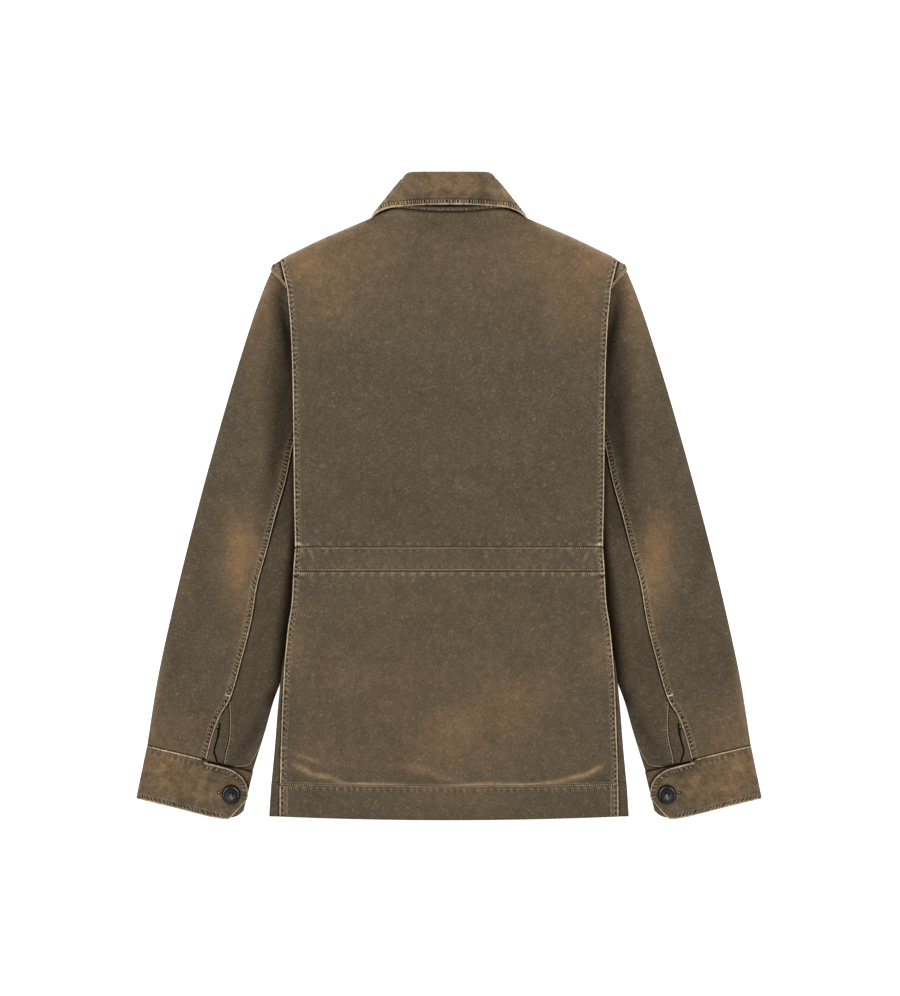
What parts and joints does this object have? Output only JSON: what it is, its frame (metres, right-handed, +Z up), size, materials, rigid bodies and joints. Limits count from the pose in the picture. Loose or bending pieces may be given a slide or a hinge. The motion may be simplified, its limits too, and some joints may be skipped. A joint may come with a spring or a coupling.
{
  "type": "military field jacket",
  "caption": "Field jacket in worn waxed cotton, laid flat on its front: wide back with a waist strip, shirt collar, two-piece sleeves with vents and buttoned cuffs.",
  "frame": {"origin": "middle of the jacket's underside, on the surface that it lies on", "axes": "+Z up out of the jacket's back, +Y from the hem to the collar, -X towards the wearer's left"},
  "size_m": [0.7502, 0.776, 0.0097],
  "materials": {
    "cloth": "waxed cotton canvas, dark olive brown, matt, washed and rubbed",
    "faded_cloth": "the same cloth where it has worn warmer and paler, at cuffs and collar",
    "button": "dark horn-like plastic, half gloss"
  },
  "bodies": {
    "root": {"back": "cloth", "waist_strip": "cloth", "collar_fall": "faded_cloth", "collar_stand": "cloth", "front_left": "cloth", "sleeve_top_left": "cloth", "sleeve_under_left": "cloth", "vent_placket_left": "cloth", "cuff_left": "faded_cloth", "cuff_button_left": "button", "front_right": "cloth", "sleeve_top_right": "cloth", "sleeve_under_right": "cloth", "vent_placket_right": "cloth", "cuff_right": "faded_cloth", "cuff_button_right": "button"}
  },
  "joints": []
}
